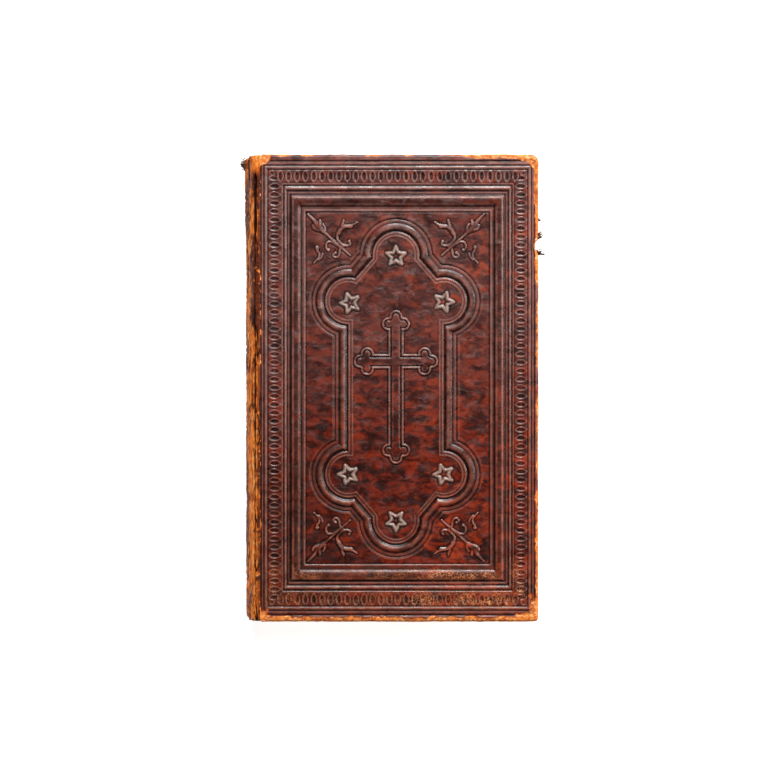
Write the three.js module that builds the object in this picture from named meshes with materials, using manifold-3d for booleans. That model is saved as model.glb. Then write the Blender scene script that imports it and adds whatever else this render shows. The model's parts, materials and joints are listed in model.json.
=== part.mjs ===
// A small nineteenth-century prayer book bound in embossed leather.
// It lies on its back cover: +X runs from the spine to the fore-edge, +Y to the head, +Z up through
// the front cover. The origin is the centre of the book's footprint. Lengths are in millimetres.

import * as THREE from 'three';
import { mergeVertices } from 'three/addons/utils/BufferGeometryUtils.js';
import Module from 'manifold-3d';

// ---- Driving dimensions -------------------------------------------------------------------------

const BOOK_WIDTH = 107; // spine to fore-edge, X
const BOOK_HEIGHT = 170; // head to tail, Y
const BOOK_THICKNESS = 36; // back cover to front cover, Z
const SPINE_SWELL = 4.4; // how far the rounded spine stands out past the hinge lines
const SHEET_GAP = 0.05; // between pieces that lie flat on each other
const SEAT_GAP = 0.3; // between pieces that meet edge to edge

// ---- Covers -------------------------------------------------------------------------------------

const LEATHER_FACE = 1.0; // leather on a cover's outer face, with the height of its relief
const LEATHER_EDGE = 0.4; // leather over a board's edges
const TURN_IN = 0.3; // leather folded onto a board's inner face
const TURN_IN_WIDTH = 8.6;
const BOARD = 2.0;
const PASTEDOWN = 0.18;
const JOINT_GROOVE = 1.2; // from a hinge line to the cover's spine-side edge
const FORE_HEAD_RADIUS = 3.0; // worn round corners, seen from above
const FORE_TAIL_RADIUS = 1.8;
const SPINE_CORNER_RADIUS = 1.2;

// ---- Paper --------------------------------------------------------------------------------------

const SQUARE = 3.5; // how far the covers stand out past the paper at head and tail
const FORE_SQUARE = 3.3; // the same at the fore-edge
const LEAF = 0.22;
const LEAF_PITCH = 0.32;
const FRONT_LEAVES = 8; // the flyleaf and the leaves behind it
const BACK_LEAVES = 3;
const SECTIONS = 16;
const LEAF_AXIS_INSET = 2.1; // from a hinge line to the line that the loose leaves turn on

// ---- Spine --------------------------------------------------------------------------------------

const SPINE_LEATHER = 1.2;
const SPINE_LINING = 0.45;
const SPINE_END_CLEARANCE = 0.3; // between the spine leather and a cover that is wide open
const CORD_RADIUS = 0.5;
const CORD_PLACES = [-52, -18, 18, 52]; // Y of each cord sawn into the folds
const KETTLE_RADIUS = 0.25;
const KETTLE_PLACE = 70; // Y of the kettle stitches, at head and tail
const BAND_RADIUS = 0.8; // head and tail bands
const HEADCAP = 1.1; // leather turned over a band
const HEADCAP_REACH = 4.2; // how far a headcap reaches in over the band
const NOTCH_CLEARANCE = 0.15; // round a cord in its saw cut
const FOLD_GAP = 0.15; // between the spine lining and the folds of the paper
const JOINT_BEND = 14; // from the middle of the thickness to the joint leather's bend
const JOINT_BEND_INNER = 13.8; // the same on the leather's inner face
const CUT_OVERSHOOT = 1; // how far a cutting solid stands out past what it cuts

const ARC_STEPS = 16; // along the spine's curve
const CORNER_STEPS = 5;
const FOLD_STEPS = 6;
const ROUND_SIDES = 8; // of a cord or thread

// ---- Worked-out places --------------------------------------------------------------------------

const spineX = -BOOK_WIDTH / 2;
const foreEdgeX = BOOK_WIDTH / 2;
const hingeX = spineX + SPINE_SWELL;
const coverX = hingeX + JOINT_GROOVE;
const middleZ = BOOK_THICKNESS / 2;

// Depths are measured inwards from a cover's outer face.
const boardDepth = LEATHER_FACE + SHEET_GAP;
const innerDepth = boardDepth + BOARD + SHEET_GAP;
const coverDepth = innerDepth + TURN_IN;

// The spine's outer arc passes through both hinge lines at half a leather face below the covers.
const chordHalf = middleZ - LEATHER_FACE / 2;
const spineRadius = (chordHalf ** 2 + SPINE_SWELL ** 2) / (2 * SPINE_SWELL);
const arcCentreX = spineX + spineRadius;
const liningRadius = spineRadius - SPINE_LEATHER - SHEET_GAP;
const foldRadius = liningRadius - SPINE_LINING - FOLD_GAP;
const spineHalfZ = middleZ - 2 * coverDepth - SPINE_END_CLEARANCE;
const cordRadius = foldRadius - CORD_RADIUS;
const kettleRadius = foldRadius - KETTLE_RADIUS;

const paperHalfY = BOOK_HEIGHT / 2 - SQUARE;
const leafX = hingeX + LEAF_AXIS_INSET;
const leafWidth = foreEdgeX - FORE_SQUARE - leafX;

const leafClearance = LEAF_PITCH - LEAF;
const frontLeavesTop = BOOK_THICKNESS - coverDepth - leafClearance;
const frontLeavesBottom = frontLeavesTop - FRONT_LEAVES * LEAF_PITCH;
const backLeavesBottom = coverDepth + leafClearance;
const backLeavesTop = backLeavesBottom + BACK_LEAVES * LEAF_PITCH;
const sectionPitch = (frontLeavesBottom - backLeavesTop) / SECTIONS;
const sectionThickness = sectionPitch - SHEET_GAP;

/** X of the spine's curve of this radius, at this height. */
const arcX = (radius, z) => arcCentreX - Math.sqrt(radius ** 2 - (z - middleZ) ** 2);

/** Height of a depth below the outer face of the front or back cover. */
const heightAt = (side, depth) => (side === 'front' ? BOOK_THICKNESS - depth : depth);

const sectionWidth = foreEdgeX - FORE_SQUARE - arcX(foldRadius, frontLeavesBottom);

// ---- Materials ----------------------------------------------------------------------------------

const material = (color, roughness) =>
	new THREE.MeshStandardMaterial({ color, roughness, metalness: 0 });

const coverLeather = material(0x55302c, 0.55);
const wornLeather = material(0x8a4a24, 0.65);
const millboard = material(0x9a8a6a, 0.9);
const endpaper = material(0xd8cdb0, 0.85);
const paper = material(0xe4dabf, 0.9);
const hemp = material(0xb89f70, 0.9);
const linen = material(0xcbbd98, 0.9);
const silk = material(0xa8763a, 0.6);

// ---- Tools for solids ---------------------------------------------------------------------------

const manifold = await Module();
manifold.setup();

/** A closed geometry as a solid for joins and cuts. */
function toSolid(geometry) {
	const bare = geometry.clone();
	bare.deleteAttribute('normal');
	bare.deleteAttribute('uv');
	const merged = mergeVertices(bare, 1e-5);
	return new manifold.Manifold(
		new manifold.Mesh({
			numProp: 3,
			vertProperties: merged.getAttribute('position').array,
			triVerts: new Uint32Array(merged.getIndex().array),
		}),
	);
}

function toGeometry(solid) {
	const mesh = solid.getMesh();
	const geometry = new THREE.BufferGeometry();
	geometry.setAttribute('position', new THREE.BufferAttribute(mesh.vertProperties, 3));
	geometry.setIndex(new THREE.BufferAttribute(mesh.triVerts, 1));
	geometry.computeVertexNormals();
	return geometry;
}

/** An outline in X and Y as a flat sheet between two heights. */
function sheet(outline, oneHeight, otherHeight) {
	const low = Math.min(oneHeight, otherHeight);
	const depth = Math.abs(oneHeight - otherHeight);
	return new THREE.ExtrudeGeometry(outline, {
		depth,
		bevelEnabled: false,
		curveSegments: CORNER_STEPS,
	}).translate(0, 0, low);
}

/** An outline in X and Z carried along Y. */
function lengthways(outline, lowY, highY) {
	return new THREE.ExtrudeGeometry(outline, { depth: highY - lowY, bevelEnabled: false })
		.rotateX(Math.PI / 2)
		.translate(0, highY, 0);
}

/** A rectangle from the spine side to the fore-edge, with a radius for each kind of corner. */
function roundedOutline(lowX, highX, halfY, spineRound, foreHeadRound, foreTailRound) {
	const outline = new THREE.Shape();
	outline.moveTo(lowX + spineRound, -halfY);
	outline.lineTo(highX - foreTailRound, -halfY);
	outline.quadraticCurveTo(highX, -halfY, highX, -halfY + foreTailRound);
	outline.lineTo(highX, halfY - foreHeadRound);
	outline.quadraticCurveTo(highX, halfY, highX - foreHeadRound, halfY);
	outline.lineTo(lowX + spineRound, halfY);
	outline.quadraticCurveTo(lowX, halfY, lowX, halfY - spineRound);
	outline.lineTo(lowX, -halfY + spineRound);
	outline.quadraticCurveTo(lowX, -halfY, lowX + spineRound, -halfY);
	return outline;
}

function rectangle(lowX, highX, halfY) {
	return new THREE.Shape([
		new THREE.Vector2(lowX, -halfY),
		new THREE.Vector2(highX, -halfY),
		new THREE.Vector2(highX, halfY),
		new THREE.Vector2(lowX, halfY),
	]);
}

/** Points of the spine's curve in X and Z, from one height to another. */
function arcPoints(radius, fromZ, toZ) {
	const from = Math.asin((fromZ - middleZ) / radius);
	const to = Math.asin((toZ - middleZ) / radius);
	return Array.from({ length: ARC_STEPS + 1 }, (_, i) => {
		const angle = THREE.MathUtils.lerp(from, to, i / ARC_STEPS);
		return new THREE.Vector2(
			arcCentreX - radius * Math.cos(angle),
			middleZ + radius * Math.sin(angle),
		);
	});
}

/** A curved wall between two radii, in X and Z, reaching this far above and below the middle. */
function arcWall(outerRadius, innerRadius, halfZ) {
	const outer = arcPoints(outerRadius, middleZ - halfZ, middleZ + halfZ);
	const inner = arcPoints(innerRadius, middleZ + halfZ, middleZ - halfZ);
	return new THREE.Shape([...outer, ...inner]);
}

/** The line of a cord laid over the folds: a curve in X and Z at one place along the spine. */
class SpineCurve extends THREE.Curve {
	constructor(radius, y, halfZ) {
		super();
		this.radius = radius;
		this.y = y;
		this.halfAngle = Math.asin(halfZ / radius);
	}

	getPoint(t, target = new THREE.Vector3()) {
		const angle = THREE.MathUtils.lerp(-this.halfAngle, this.halfAngle, t);
		return target.set(
			arcCentreX - this.radius * Math.cos(angle),
			this.y,
			middleZ + this.radius * Math.sin(angle),
		);
	}
}

/** A round cord along the spine's curve. */
function cordGeometry(thickness, radius, y, halfZ) {
	const section = new THREE.Shape();
	section.absarc(0, 0, thickness, 0, 2 * Math.PI);
	return new THREE.ExtrudeGeometry(section, {
		steps: ARC_STEPS,
		curveSegments: ROUND_SIDES / 2,
		bevelEnabled: false,
		extrudePath: new SpineCurve(radius, y, halfZ),
	});
}

// ---- The book -----------------------------------------------------------------------------------

const book = new THREE.Group();

function add(name, geometry, finish, place = [0, 0, 0]) {
	const mesh = new THREE.Mesh(geometry, finish);
	mesh.name = name;
	mesh.position.set(...place);
	book.add(mesh);
}

/** The outline of a cover, drawn in by this much on the three sides that the leather wraps. */
function coverOutline(inset) {
	return roundedOutline(
		coverX,
		foreEdgeX - inset,
		BOOK_HEIGHT / 2 - inset,
		Math.max(SPINE_CORNER_RADIUS - inset, SHEET_GAP),
		FORE_HEAD_RADIUS - inset,
		FORE_TAIL_RADIUS - inset,
	);
}

/** Leather drawn over a board's face and three edges, and folded onto its inner face. */
function coverLeatherGeometry(side) {
	const wrapped = LEATHER_EDGE - SHEET_GAP;
	const openX = coverX - CUT_OVERSHOOT;
	const windowDepth = boardDepth + BOARD / 2;
	const whole = toSolid(sheet(coverOutline(0), heightAt(side, 0), heightAt(side, coverDepth)));
	const pocket = toSolid(
		sheet(
			roundedOutline(
				openX,
				foreEdgeX - wrapped,
				BOOK_HEIGHT / 2 - wrapped,
				SHEET_GAP,
				FORE_HEAD_RADIUS - wrapped,
				FORE_TAIL_RADIUS - wrapped,
			),
			heightAt(side, LEATHER_FACE),
			heightAt(side, innerDepth),
		),
	);
	const window = toSolid(
		sheet(
			rectangle(openX, foreEdgeX - TURN_IN_WIDTH, BOOK_HEIGHT / 2 - TURN_IN_WIDTH),
			heightAt(side, windowDepth),
			heightAt(side, coverDepth + CUT_OVERSHOOT),
		),
	);
	return toGeometry(whole.subtract(pocket).subtract(window));
}

function addCover(side) {
	add(`${side}_cover_leather`, coverLeatherGeometry(side), coverLeather);
	add(
		`${side}_board`,
		sheet(
			coverOutline(LEATHER_EDGE),
			heightAt(side, boardDepth),
			heightAt(side, boardDepth + BOARD),
		),
		millboard,
	);
	const margin = TURN_IN_WIDTH + 2 * SHEET_GAP;
	add(
		`${side}_pastedown`,
		sheet(
			rectangle(coverX, foreEdgeX - margin, BOOK_HEIGHT / 2 - margin),
			heightAt(side, innerDepth),
			heightAt(side, innerDepth + PASTEDOWN),
		),
		endpaper,
	);
}

/** The flexible leather between the spine and a cover, drawn shut. */
function jointLeatherOutline(side) {
	const sign = side === 'front' ? 1 : -1;
	const thickness = SPINE_LEATHER - SEAT_GAP;
	const spineEnd = middleZ + sign * (spineHalfZ + SEAT_GAP);
	const bend = middleZ + sign * JOINT_BEND;
	const innerBend = middleZ + sign * JOINT_BEND_INNER;
	const shoulder = heightAt(side, LEATHER_FACE);
	const coverEnd = coverX - SEAT_GAP;
	const outer = [
		new THREE.Vector2(arcX(spineRadius, spineEnd), spineEnd),
		new THREE.Vector2(arcX(spineRadius, bend), bend),
		new THREE.Vector2(hingeX - SEAT_GAP, shoulder),
		new THREE.Vector2(coverEnd, heightAt(side, SEAT_GAP)),
	];
	const inner = [
		new THREE.Vector2(coverEnd, heightAt(side, SEAT_GAP + thickness)),
		new THREE.Vector2(hingeX - SEAT_GAP + thickness / 2, heightAt(side, LEATHER_FACE + thickness)),
		new THREE.Vector2(arcX(spineRadius, bend) + thickness, innerBend),
		new THREE.Vector2(arcX(spineRadius, spineEnd) + thickness, spineEnd),
	];
	return new THREE.Shape([...outer, ...inner]);
}

function addJointLeather(side) {
	add(
		`${side}_joint_leather`,
		lengthways(jointLeatherOutline(side), -BOOK_HEIGHT / 2 + SEAT_GAP, BOOK_HEIGHT / 2 - SEAT_GAP),
		wornLeather,
	);
}

/** One leaf, drawn from its turning line to the fore-edge. */
function addLeaf(name, lowZ) {
	const outline = rectangle(0, leafWidth, paperHalfY);
	const finish = name.endsWith('flyleaf') ? endpaper : paper;
	add(name, sheet(outline, 0, LEAF), finish, [leafX, 0, lowZ]);
}

/** The loose leaves under the front cover, from the flyleaf down, and over the back cover. */
function addLeaves() {
	for (let i = 0; i < FRONT_LEAVES; i++) {
		const name = i === 0 ? 'front_flyleaf' : `front_leaf_${i}`;
		addLeaf(name, frontLeavesTop - i * LEAF_PITCH - LEAF);
	}
	for (let i = 0; i < BACK_LEAVES; i++) {
		const name = i === 0 ? 'back_flyleaf' : `back_leaf_${i}`;
		addLeaf(name, backLeavesBottom + i * LEAF_PITCH);
	}
}

/** A folded gathering seen along Y: a slab whose spine side is a round fold. */
function sectionOutline(lowZ) {
	const foldX = arcX(foldRadius, lowZ + sectionThickness / 2);
	const half = sectionThickness / 2;
	const outline = new THREE.Shape();
	outline.moveTo(foldX + half, lowZ);
	outline.lineTo(foldX + sectionWidth, lowZ);
	outline.lineTo(foldX + sectionWidth, lowZ + sectionThickness);
	outline.lineTo(foldX + half, lowZ + sectionThickness);
	for (let i = 1; i < FOLD_STEPS; i++) {
		const angle = Math.PI / 2 + (Math.PI * i) / FOLD_STEPS;
		outline.lineTo(foldX + half + half * Math.cos(angle), lowZ + half + half * Math.sin(angle));
	}
	return outline;
}

/** A saw cut across the folds for a cord of this thickness. */
function sawCut(y, thickness) {
	const reach = thickness + NOTCH_CLEARANCE;
	const wall = arcWall(spineRadius, foldRadius - 2 * thickness - NOTCH_CLEARANCE, middleZ);
	return toSolid(lengthways(wall, y - reach, y + reach));
}

function addSections() {
	const cuts = [
		...CORD_PLACES.map((y) => sawCut(y, CORD_RADIUS)),
		...[-KETTLE_PLACE, KETTLE_PLACE].map((y) => sawCut(y, KETTLE_RADIUS)),
	];
	for (let i = 0; i < SECTIONS; i++) {
		const lowZ = backLeavesTop + i * sectionPitch;
		const block = toSolid(lengthways(sectionOutline(lowZ), -paperHalfY, paperHalfY));
		const notched = cuts.reduce((solid, cut) => solid.subtract(cut), block);
		add(`section_${String(i + 1).padStart(2, '0')}`, toGeometry(notched), paper);
	}
}

function addSewing() {
	CORD_PLACES.forEach((y, i) => {
		add(`sewing_cord_${i + 1}`, cordGeometry(CORD_RADIUS, cordRadius, y, spineHalfZ), hemp);
	});
	add('kettle_stitch_tail', cordGeometry(KETTLE_RADIUS, kettleRadius, -KETTLE_PLACE, spineHalfZ), linen);
	add('kettle_stitch_head', cordGeometry(KETTLE_RADIUS, kettleRadius, KETTLE_PLACE, spineHalfZ), linen);
}

/** The worked bands that stand on the paper at the ends of the spine. */
function addBands() {
	const y = paperHalfY + BAND_RADIUS + 2 * SHEET_GAP;
	const radius = foldRadius - BAND_RADIUS;
	add('head_band', cordGeometry(BAND_RADIUS, radius, y, spineHalfZ), silk);
	add('tail_band', cordGeometry(BAND_RADIUS, radius, -y, spineHalfZ), silk);
}

/** Leather glued to the back of the paper, turned in over the bands at both ends. */
function spineLeatherGeometry() {
	const halfY = BOOK_HEIGHT / 2 - SEAT_GAP;
	const wall = arcWall(spineRadius, spineRadius - SPINE_LEATHER, spineHalfZ);
	const cap = arcWall(spineRadius, spineRadius - HEADCAP_REACH, spineHalfZ);
	const parts = [
		lengthways(wall, -halfY, halfY),
		lengthways(cap, -halfY, -halfY + HEADCAP),
		lengthways(cap, halfY - HEADCAP, halfY),
	];
	return toGeometry(parts.map(toSolid).reduce((whole, part) => whole.add(part)));
}

function addSpine() {
	const lining = arcWall(liningRadius, liningRadius - SPINE_LINING, spineHalfZ);
	add('spine_lining', lengthways(lining, -paperHalfY, paperHalfY), linen);
	add('spine_leather', spineLeatherGeometry(), wornLeather);
}

addCover('back');
addCover('front');
addJointLeather('back');
addJointLeather('front');
addLeaves();
addSections();
addSewing();
addBands();
addSpine();

export default book;
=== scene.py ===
"""A small nineteenth-century prayer book bound in embossed leather, worn at its edges and spine.

Shapes are worked out in millimetres and become metres where they reach a mesh, a light or the
camera. x runs from the spine to the fore-edge, y to the head, z up through the front cover.
u and v are x and y measured from the middle of the tooled design.
"""

import json
import math

import bpy
import numpy as np
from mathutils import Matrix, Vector


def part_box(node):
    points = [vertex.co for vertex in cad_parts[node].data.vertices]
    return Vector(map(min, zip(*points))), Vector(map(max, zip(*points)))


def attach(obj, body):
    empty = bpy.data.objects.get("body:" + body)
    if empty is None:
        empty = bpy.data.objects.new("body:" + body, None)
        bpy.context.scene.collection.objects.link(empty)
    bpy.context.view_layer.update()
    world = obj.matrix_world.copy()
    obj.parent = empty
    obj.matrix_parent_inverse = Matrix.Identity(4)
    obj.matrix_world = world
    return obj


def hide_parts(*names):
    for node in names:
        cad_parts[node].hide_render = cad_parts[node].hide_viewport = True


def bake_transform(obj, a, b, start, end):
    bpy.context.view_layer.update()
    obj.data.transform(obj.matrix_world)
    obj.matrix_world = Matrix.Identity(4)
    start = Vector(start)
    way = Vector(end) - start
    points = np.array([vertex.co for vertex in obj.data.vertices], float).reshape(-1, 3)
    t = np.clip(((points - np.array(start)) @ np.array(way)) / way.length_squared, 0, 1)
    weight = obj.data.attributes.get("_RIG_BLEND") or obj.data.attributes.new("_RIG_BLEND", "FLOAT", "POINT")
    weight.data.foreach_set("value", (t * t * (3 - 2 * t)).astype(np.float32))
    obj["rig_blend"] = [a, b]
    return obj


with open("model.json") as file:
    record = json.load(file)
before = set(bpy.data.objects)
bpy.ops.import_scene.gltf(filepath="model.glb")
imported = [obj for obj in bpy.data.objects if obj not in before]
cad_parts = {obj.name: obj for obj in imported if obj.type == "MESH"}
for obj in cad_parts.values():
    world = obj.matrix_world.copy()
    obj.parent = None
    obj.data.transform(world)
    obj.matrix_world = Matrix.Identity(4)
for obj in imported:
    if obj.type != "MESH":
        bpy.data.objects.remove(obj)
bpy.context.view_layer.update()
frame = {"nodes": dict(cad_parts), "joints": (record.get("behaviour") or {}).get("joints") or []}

MM = 0.001
SIDES = ("front", "back")

# ---- Places read from the frame ----


def box_mm(node):
    """Lowest and highest corner of a CAD node, in millimetres."""
    return [np.array(corner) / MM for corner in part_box(node)]


COVER_LOW, COVER_HIGH = box_mm("front_cover_leather")
SPINE_LOW, SPINE_HIGH = box_mm("spine_leather")
BOARD_LOW, BOARD_HIGH = box_mm("front_board")
BOOK_TOP = COVER_HIGH[2]
MIDDLE_Z = BOOK_TOP / 2
HALF_HEIGHT = COVER_HIGH[1]
FORE_EDGE = COVER_HIGH[0]
JOINTS = {joint["name"]: joint for joint in frame["joints"]}
HINGE_X = JOINTS["front_cover_hinge"]["pos_m"][0] / MM
COVER_X = (COVER_LOW[0] + FORE_EDGE) / 2
COVER_HALF_WIDTH = (FORE_EDGE - COVER_LOW[0]) / 2
DESIGN_X = (HINGE_X + FORE_EDGE) / 2
DESIGN_HALF_WIDTH = (FORE_EDGE - HINGE_X) / 2 + 0.1

SPINE_RADIUS = 37.0  # of the spine leather's outer face
ARC_X = SPINE_LOW[0] + SPINE_RADIUS
LINING_RADIUS = SPINE_RADIUS - 1.25

# ---- Numbers and noise ----


def smoothstep(low, high, value):
    """0 below low, 1 above high and smooth between, also with low above high."""
    t = np.clip((value - low) / (high - low), 0, 1)
    return t * t * (3 - 2 * t)


def bump(distance, half_width):
    """A rounded bump, 1 at distance 0 and 0 from half_width on."""
    return np.clip(1 - (distance / half_width) ** 2, 0, 1) ** 1.5


def profile(value, knots):
    """Height at a value, straight between knots of place and height."""
    places, heights = zip(*knots)
    return np.interp(value, places, heights)


def lattice_noise(x, y, seed):
    """Smooth noise from -1 to 1 with a feature size of about 1, the same on every run."""
    table = np.random.default_rng(seed).uniform(-1, 1, (256, 256))
    x0, y0 = np.floor(x).astype(int), np.floor(y).astype(int)
    fx, fy = smoothstep(0, 1, x - x0), smoothstep(0, 1, y - y0)

    def corner(i, j):
        return table[(x0 + i) % 256, (y0 + j) % 256]

    low = corner(0, 0) * (1 - fx) + corner(1, 0) * fx
    high = corner(0, 1) * (1 - fx) + corner(1, 1) * fx
    return low * (1 - fy) + high * fy


def cloud(x, y, size, seed, octaves=4):
    """Several octaves of noise with a largest feature of this size."""
    total, weight = 0, 0
    for octave in range(octaves):
        strength = 0.5**octave
        scale = 2**octave / size
        total = total + strength * lattice_noise(x * scale, y * scale, seed + octave)
        weight += strength
    return total / weight


def xyz(x, y, z):
    """A table of points from tables of their coordinates, or from single values."""
    return np.stack(np.broadcast_arrays(x, y, z), axis=-1)


def blurred(table, reach):
    """A table averaged over this many neighbours each way."""
    for axis in (0, 1):
        sides = [(reach, reach) if axis == i else (0, 0) for i in (0, 1)]
        wide = np.pad(table, sides, mode="edge")
        count = table.shape[axis]
        parts = [np.take(wide, range(i, i + count), axis) for i in range(2 * reach + 1)]
        table = sum(parts) / len(parts)
    return table


# ---- Meshes ----


def make_mesh(name, points, quads, attributes=None):
    """A smooth mesh object from points in millimetres and rows of four point numbers."""
    mesh = bpy.data.meshes.new(name)
    quads = np.asarray(quads, np.int32)
    mesh.vertices.add(len(points))
    mesh.vertices.foreach_set("co", (np.asarray(points) * MM).astype(np.float32).ravel())
    mesh.loops.add(quads.size)
    mesh.loops.foreach_set("vertex_index", quads.ravel())
    mesh.polygons.add(len(quads))
    mesh.polygons.foreach_set("loop_start", np.arange(0, quads.size, 4, dtype=np.int32))
    mesh.update(calc_edges=True)
    mesh.validate()
    for key, values in (attributes or {}).items():
        attribute = mesh.attributes.new(key, "FLOAT", "POINT")
        attribute.data.foreach_set("value", np.asarray(values, np.float32).ravel())
    mesh.polygons.foreach_set("use_smooth", np.ones(len(mesh.polygons), bool))
    item = bpy.data.objects.new(name, mesh)
    bpy.context.scene.collection.objects.link(item)
    return item


def grid_quads(numbers, flip=False):
    """Quads over a two-way table of point numbers."""
    a, b = numbers[:-1, :-1], numbers[:-1, 1:]
    c, d = numbers[1:, 1:], numbers[1:, :-1]
    order = (a, d, c, b) if flip else (a, b, c, d)
    return np.stack(order, axis=-1).reshape(-1, 4)


class Builder:
    """Collects grids of points into one mesh."""

    def __init__(self):
        self.points, self.quads, self.attributes, self.count = [], [], {}, 0

    def add_points(self, points, **attributes):
        """Adds a table of points and returns the table of their numbers."""
        shape = points.shape[:-1]
        size = int(np.prod(shape))
        numbers = np.arange(self.count, self.count + size).reshape(shape)
        self.points.append(points.reshape(-1, 3))
        self.count += size
        for key, values in attributes.items():
            whole = np.broadcast_to(values, shape).ravel()
            self.attributes.setdefault(key, []).append(whole)
        return numbers

    def add_grid(self, numbers, flip=False):
        """Joins a table of point numbers with faces."""
        self.quads.append(grid_quads(numbers, flip))

    def add_closed_sheet(self, outer, inner, **attributes):
        """A sheet with thickness between two tables of points of the same shape."""
        top = self.add_points(outer, **attributes)
        low = self.add_points(inner, **attributes)
        self.add_grid(top)
        self.add_grid(low, flip=True)
        self.add_grid(np.stack([top[0], low[0]]), flip=True)
        self.add_grid(np.stack([top[-1], low[-1]]))
        self.add_grid(np.stack([top[:, 0], low[:, 0]]))
        self.add_grid(np.stack([top[:, -1], low[:, -1]]), flip=True)

    def make(self, name):
        """The mesh object of everything added."""
        attributes = {key: np.concatenate(parts) for key, parts in self.attributes.items()}
        return make_mesh(name, np.concatenate(self.points), np.concatenate(self.quads), attributes)


def fit(item, body, node=None):
    """Puts a piece on its body, in place of its CAD node where it has one."""
    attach(item, body)
    if node is not None:
        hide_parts(node)
    return item


# What each of four neighbouring points adds to a smooth line, by power of the share between them.
SMOOTHING = np.array(((0, 2, 0, 0), (-1, 0, 1, 0), (2, -5, 4, -1), (-1, 3, -3, 1))) / 2


def smooth_path(points, steps=6):
    """A smooth line through a few points."""
    points = np.array(points, float)
    if len(points) < 3:
        return points
    wide = np.array([2 * points[0] - points[1], *points, 2 * points[-1] - points[-2]])
    powers = (np.arange(steps) / steps)[:, None] ** np.arange(4)
    parts = [powers @ SMOOTHING @ wide[i : i + 4] for i in range(len(points) - 1)]
    return np.vstack([*parts, points[-1:]])


# ---- The tooled design: height over the ground of the leather, in millimetres ----

GROUND_DEPTH = 0.7  # from the highest tooling to the leather's ground
EDGE_ROUNDING = 0.9

# Distance in from the side edges against distance in from head and tail, for the same line.
RING_AT_SIDES = (0, 2.8, 10, 11.5, 14.4, 17.2, 97)
RING_AT_ENDS = (0, 4.2, 11.45, 13.9, 16.65, 20.2, 100)

# Heights of the border lines by distance in, and of the panel's moulding by distance out from it.
BORDER = (
    (0, 0.0), (0.9, 0.2), (1.3, 0.22), (1.6, -0.14), (2.1, 0.08), (2.4, 0.16), (2.8, -0.14),
    (3.2, 0.2), (3.6, 0.24), (3.85, 0.16), (4.2, -0.16), (4.45, -0.1), (8.8, -0.1), (9.0, -0.1),
    (9.35, 0.22), (9.7, 0.0), (9.95, -0.2), (10.25, 0.02), (10.6, 0.3), (10.95, 0.02),
    (11.2, -0.2), (11.7, -0.02), (12.2, -0.24), (12.7, -0.22), (13.2, -0.05), (16.1, -0.02),
    (16.9, 0.0), (17.2, 0.0), (17.5, 0.26), (17.8, 0.0), (18.1, -0.18), (18.5, 0.0),
)
ROLL_PLACE = 14.4
ROLL_HALF_WIDTH = 1.7
ROLL_HEIGHT = 0.74
# The roll's middle, painted dark as shade.
ROLL_BODY = (12.9, 15.9)
# The border's flat bands, which get a painted grey sheen.
BORDER_FLATS = ((1.9, 2.5), (3.1, 3.9), (9.2, 9.6), (10.4, 10.8), (11.6, 12.6), (16.2, 17.9))

CHAIN_MIDDLE = 6.65
CHAIN_HALF_WIDTH = 2.35
CHAIN_PITCH = 3.05
CHAIN_RING = (2.5, 2.65)  # half-length and half-width of one ring
CHAIN_LINE = 0.29

LOBES = ((0, 48.2, 6.7), (17.3, 31.5, 6.7))  # u, v and radius, mirrored four ways
PANEL_HALF = (15.55, 33.0)
DIAGONAL_FROM = np.array((7.7, 45.2))
DIAGONAL_TO = np.array((13.9, 38.0))
MOULDING = (
    (-0.4, 0.05), (0.0, 0.06), (0.3, 0.3), (0.55, 0.06), (1.15, 0.02), (1.4, 0.3), (1.7, 0.0),
    (1.95, -0.26), (2.3, -0.2), (2.7, 0.1), (3.2, 0.4), (3.7, 0.48), (4.3, 0.36), (4.8, 0.12),
    (5.1, -0.08), (5.35, 0.06), (6.15, 0.06), (6.5, -0.22), (6.85, 0.02), (7.4, 0.12), (8.2, 0.0),
)
MOULDING_WIDTH = 8.2
MOULDING_BODY = (2.0, 5.0)  # its middle, painted dark as shade, from and to this far out
MOULDING_FLATS = ((0.1, 1.5), (5.2, 6.3))  # its flats, which get a painted grey sheen
INNER_SHIFT = -0.65  # everything within the border was stamped a little off centre

# Places u and v, and the way each star or cross end points, in degrees.
STAR_PLACES = (
    (0, 47.8, 90),
    (-16.7, 30.8, 180),
    (17.4, 31.2, 0),
    (-17.3, -31.5, 180),
    (17.3, -31.5, 180),
    (0, -48.4, -90),
)
STAR_RADIUS = 3.5
STAR_INNER_SHARE = 0.47

CROSS_ENDS = ((0, 23.2, 90), (0, -22.7, -90), (-10.4, 9.6, 180), (10.4, 9.6, 0))

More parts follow.
